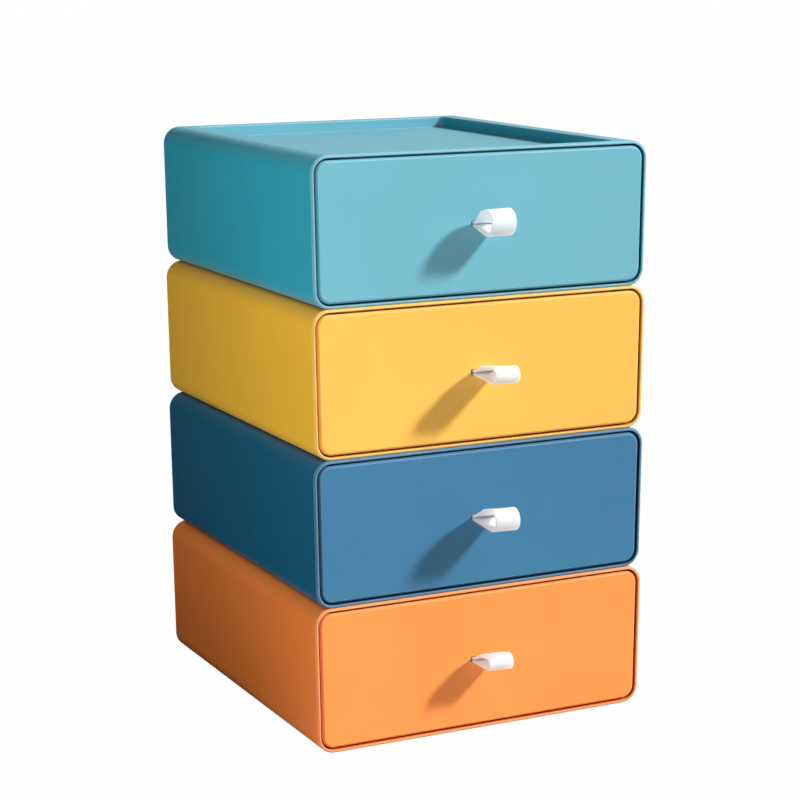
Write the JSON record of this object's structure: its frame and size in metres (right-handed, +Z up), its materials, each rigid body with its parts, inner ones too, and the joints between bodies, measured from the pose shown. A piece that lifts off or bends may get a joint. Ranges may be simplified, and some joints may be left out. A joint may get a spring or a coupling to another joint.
{
  "type": "stackable desk drawer organizer",
  "caption": "Stack of shallow desk drawer modules, each a rounded case with a sunken top tray, a flush drawer and a folded strap pull.",
  "frame": {"origin": "on the desk, below the middle of the whole outline (cases and pulls)", "axes": "+Z up, +X to the right seen from the front, drawers open towards -Y"},
  "size_m": [0.2496, 0.299, 0.3982],
  "materials": {
    "orange_plastic": "satin moulded plastic",
    "navy_plastic": "satin moulded plastic",
    "yellow_plastic": "satin moulded plastic",
    "teal_plastic": "satin moulded plastic",
    "white_strap": "smooth coated strap",
    "white_plastic": "satin moulded plastic",
    "pad_rubber": "matt"
  },
  "bodies": {
    "module_1": {"case_1": "orange_plastic", "pads_1": "pad_rubber"},
    "sliding_drawer_1": {"drawer_1": "orange_plastic", "strap_1": "white_strap", "rivet_1": "white_plastic"},
    "module_2": {"case_2": "navy_plastic", "pads_2": "pad_rubber"},
    "sliding_drawer_2": {"drawer_2": "navy_plastic", "strap_2": "white_strap", "rivet_2": "white_plastic"},
    "module_3": {"case_3": "yellow_plastic", "pads_3": "pad_rubber"},
    "sliding_drawer_3": {"drawer_3": "yellow_plastic", "strap_3": "white_strap", "rivet_3": "white_plastic"},
    "module_4": {"case_4": "teal_plastic", "pads_4": "pad_rubber"},
    "sliding_drawer_4": {"drawer_4": "teal_plastic", "strap_4": "white_strap", "rivet_4": "white_plastic"}
  },
  "joints": [
    {"name": "drawer_1_slide", "type": "slide", "parent": "module_1", "child": "sliding_drawer_1", "axis": [0, -1, 0], "range_m": [0, 0.2]},
    {"name": "drawer_2_slide", "type": "slide", "parent": "module_2", "child": "sliding_drawer_2", "axis": [0, -1, 0], "range_m": [0, 0.2]},
    {"name": "module_2_lift", "type": "slide", "parent": "module_1", "child": "module_2", "axis": [0, 0, 1], "range_m": [0, 0.04]},
    {"name": "drawer_3_slide", "type": "slide", "parent": "module_3", "child": "sliding_drawer_3", "axis": [0, -1, 0], "range_m": [0, 0.2]},
    {"name": "module_3_lift", "type": "slide", "parent": "module_2", "child": "module_3", "axis": [0, 0, 1], "range_m": [0, 0.04]},
    {"name": "drawer_4_slide", "type": "slide", "parent": "module_4", "child": "sliding_drawer_4", "axis": [0, -1, 0], "range_m": [0, 0.2]},
    {"name": "module_4_lift", "type": "slide", "parent": "module_3", "child": "module_4", "axis": [0, 0, 1], "range_m": [0, 0.04]}
  ]
}
